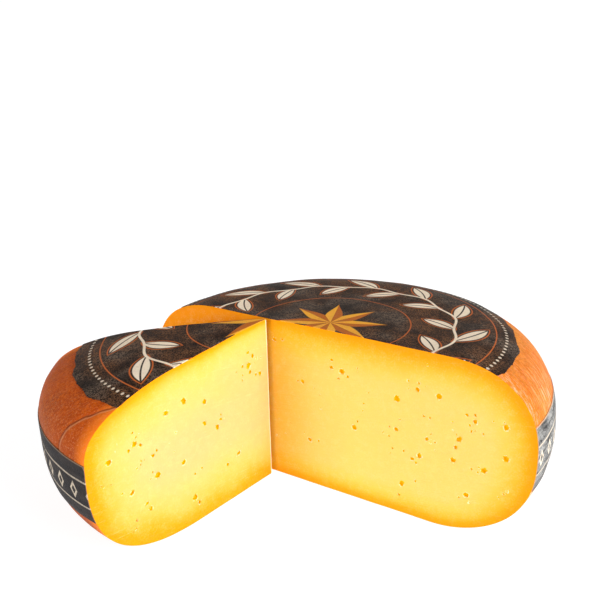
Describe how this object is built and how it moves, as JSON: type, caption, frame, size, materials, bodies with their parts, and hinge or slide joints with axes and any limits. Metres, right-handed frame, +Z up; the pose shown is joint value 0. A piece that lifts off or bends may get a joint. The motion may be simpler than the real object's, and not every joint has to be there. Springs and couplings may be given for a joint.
{
  "type": "cut smoked gouda cheese wheel",
  "caption": "Round smoked gouda wheel, cut open: a large half and a wedge that together keep the wheel's round around an open notch.",
  "frame": {"origin": "on the floor, in the middle of the area that the half wheel and the wedge take up together", "axes": "+Z up; the large cut face runs along X and looks along -Y; the wedge stands in front of it, at -X"},
  "size_m": [0.265, 0.2646, 0.0992],
  "materials": {
    "cheese": "moist smooth paste, yellow, darker towards the rind, inside a satin orange-brown smoked rind",
    "top_label": "matte fibrous tissue, near black, printed",
    "side_label": "matte fibrous tissue, dark grey, printed"
  },
  "bodies": {
    "root": {"half_wheel": "cheese", "wedge": "cheese", "half_top_label": "top_label", "wedge_top_label": "top_label", "half_side_label": "side_label", "wedge_side_label": "side_label"}
  },
  "joints": []
}
